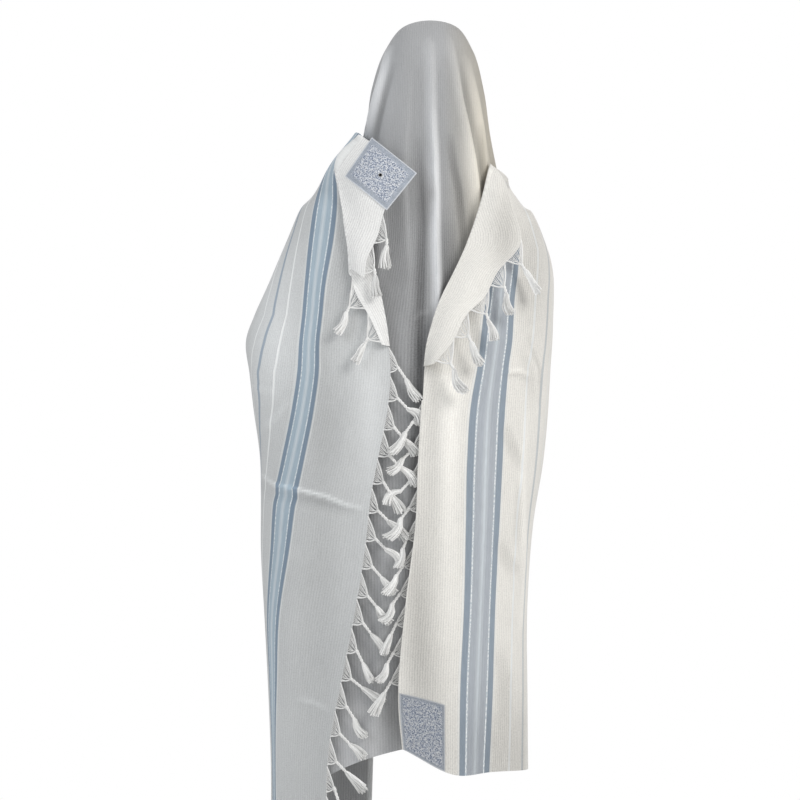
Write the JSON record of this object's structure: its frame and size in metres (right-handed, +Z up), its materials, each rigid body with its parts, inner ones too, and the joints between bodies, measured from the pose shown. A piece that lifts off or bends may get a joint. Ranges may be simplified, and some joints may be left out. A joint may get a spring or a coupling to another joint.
{
  "type": "tallit prayer shawl",
  "caption": "Striped fringed prayer shawl worn over the head, both sides wrapped round the arms and turned back down the wearer's back, with brocade corner patches.",
  "frame": {"origin": "crown of the wearer's head, just under the cloth that the head holds up", "axes": "+Z up, the wearer faces +Y, +X is the wearer's right hand; the back of the shawl faces -Y"},
  "size_m": [0.508, 0.3632, 1.5046],
  "materials": {
    "woven_cloth": "fine ribbed wool, off-white with slate-blue stripes",
    "corner_brocade": "silver-blue brocade",
    "fringe_thread": "loose white wool threads"
  },
  "bodies": {
    "root": {"hood": "woven_cloth", "back": "woven_cloth", "left_side": "woven_cloth", "right_side": "woven_cloth", "left_flap": "woven_cloth", "left_front": "woven_cloth", "left_pleat": "woven_cloth", "left_corner": "woven_cloth", "right_flap": "woven_cloth", "right_front": "woven_cloth", "right_lapel": "woven_cloth", "right_tuck": "woven_cloth", "patch_left_high": "corner_brocade", "patch_left_low": "corner_brocade", "patch_right_high": "corner_brocade", "patch_right_low": "corner_brocade", "fringe_left": "fringe_thread", "fringe_left_pleat": "fringe_thread", "fringe_left_corner": "fringe_thread", "fringe_right_lapel": "fringe_thread", "fringe_right_tuck": "fringe_thread"}
  },
  "joints": []
}
